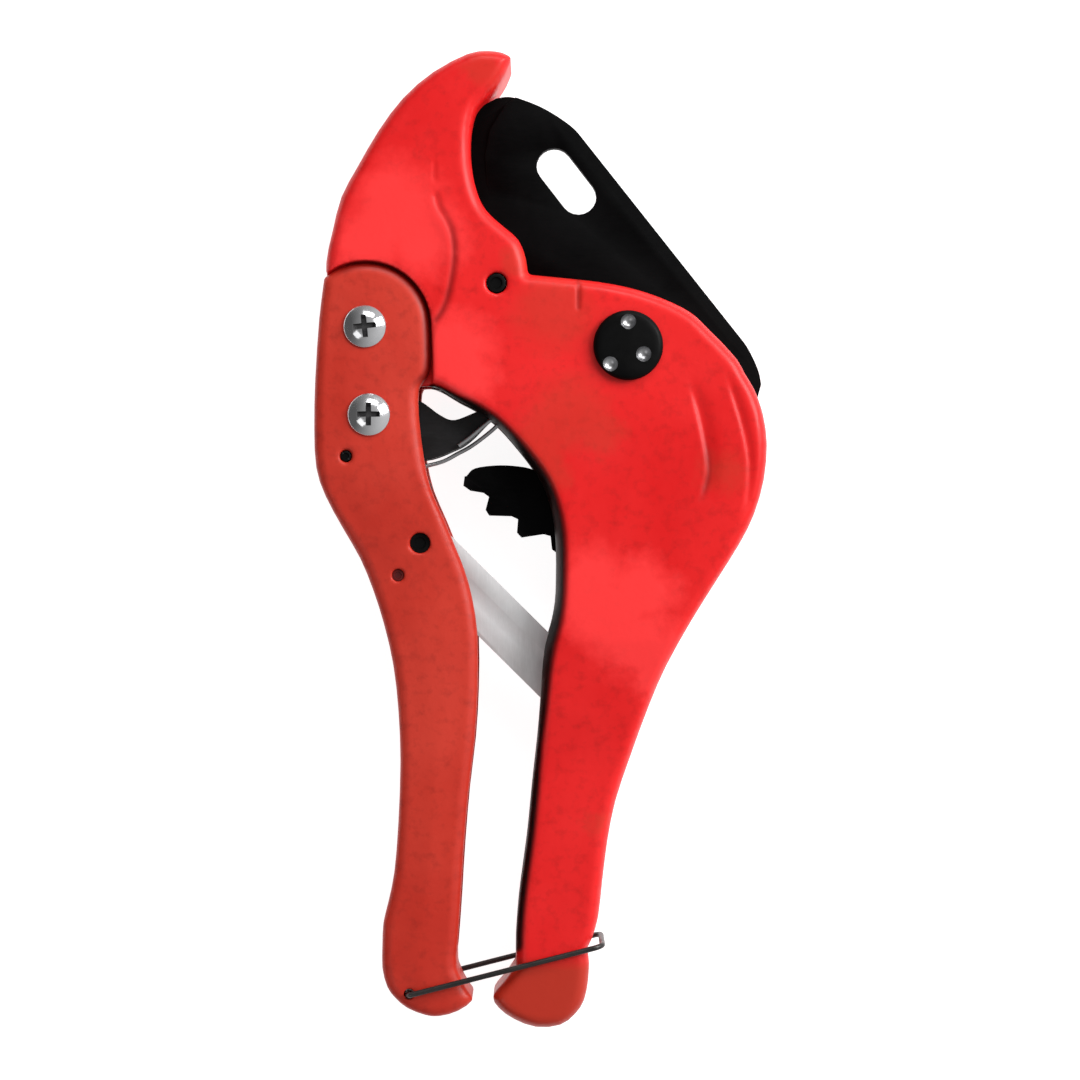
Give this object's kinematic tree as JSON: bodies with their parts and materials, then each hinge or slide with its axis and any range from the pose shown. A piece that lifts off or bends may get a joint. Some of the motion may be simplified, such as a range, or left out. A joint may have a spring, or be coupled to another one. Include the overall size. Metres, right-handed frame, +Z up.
{
  "type": "pipe cutter",
  "caption": "Hand-held ratchet cutter for plastic pipe: hooked jaw casting, swinging blade with toothed tail, pawl on a hinged handle, limit strap and wire latch",
  "frame": {"origin": "middle of the footprint, on the surface that the tool lies on", "axes": "+Y toward the tip of the jaw, +X to the blade side, +Z up out of the front face"},
  "size_m": [0.0972, 0.2098, 0.0242],
  "materials": {
    "body_paint": "glossy bright red paint on a smooth casting",
    "handle_paint": "semi-gloss brick red paint on a smooth casting",
    "blade_steel": "black coated steel plate",
    "pawl_steel": "dark oiled steel",
    "strap_steel": "pale grey zinc plated strap",
    "chrome_screw": "bright chrome plate",
    "plain_steel": "plain bright steel",
    "black_fastener": "black oxide",
    "bush_bronze": "plain bronze bearing metal"
  },
  "bodies": {
    "frame": {"body_casting": "body_paint", "pivot_bolt": "black_fastener", "pivot_nut": "plain_steel", "pivot_washer": "plain_steel", "blade_spring": "plain_steel", "blade_stop_pin": "black_fastener", "link_anchor_pin": "plain_steel", "handle_pivot_bush": "bush_bronze"},
    "handle": {"handle_casting": "handle_paint", "handle_pivot_screw": "chrome_screw", "handle_pivot_nut": "plain_steel", "pawl_pivot_screw": "chrome_screw", "pawl_pivot_nut": "plain_steel", "pawl_bush": "bush_bronze", "spring_anchor_pin": "black_fastener", "handle_dowel": "handle_paint", "link_pin": "black_fastener"},
    "blade": {"blade": "blade_steel", "blade_bush": "bush_bronze"},
    "pawl": {"pawl": "pawl_steel", "pawl_spring": "plain_steel"},
    "link": {"limit_link": "strap_steel"},
    "latch": {"latch_wire": "plain_steel"}
  },
  "joints": [
    {"name": "handle_swing", "type": "hinge", "parent": "frame", "child": "handle", "pos_m": [-0.03764, 0.04575, 0.011], "axis": [0, 0, -1], "range_deg": [0, 26]},
    {"name": "blade_swing", "type": "hinge", "parent": "frame", "child": "blade", "pos_m": [0.0186, 0.04164, 0.011], "axis": [0, 0, -1], "range_deg": [0, 54]},
    {"name": "pawl_swing", "type": "hinge", "parent": "handle", "child": "pawl", "pos_m": [-0.03677, 0.02693, 0.011], "axis": [0, 0, 1], "range_deg": [-6, 18]},
    {"name": "link_swing", "type": "hinge", "parent": "frame", "child": "link", "pos_m": [0.01017, -0.03645, 0.011], "axis": [0, 0, 1], "range_deg": [0, 14]},
    {"name": "latch_swing", "type": "hinge", "parent": "handle", "child": "latch", "pos_m": [-0.02833, -0.09744, 0.011], "axis": [0, 0, -1], "range_deg": [0, 270]}
  ],
  "couplings": [
    {"joint": "link_swing", "follows": "handle_swing", "ratio": 0.508},
    {"joint": "latch_swing", "follows": "handle_swing", "ratio": 10.38}
  ]
}
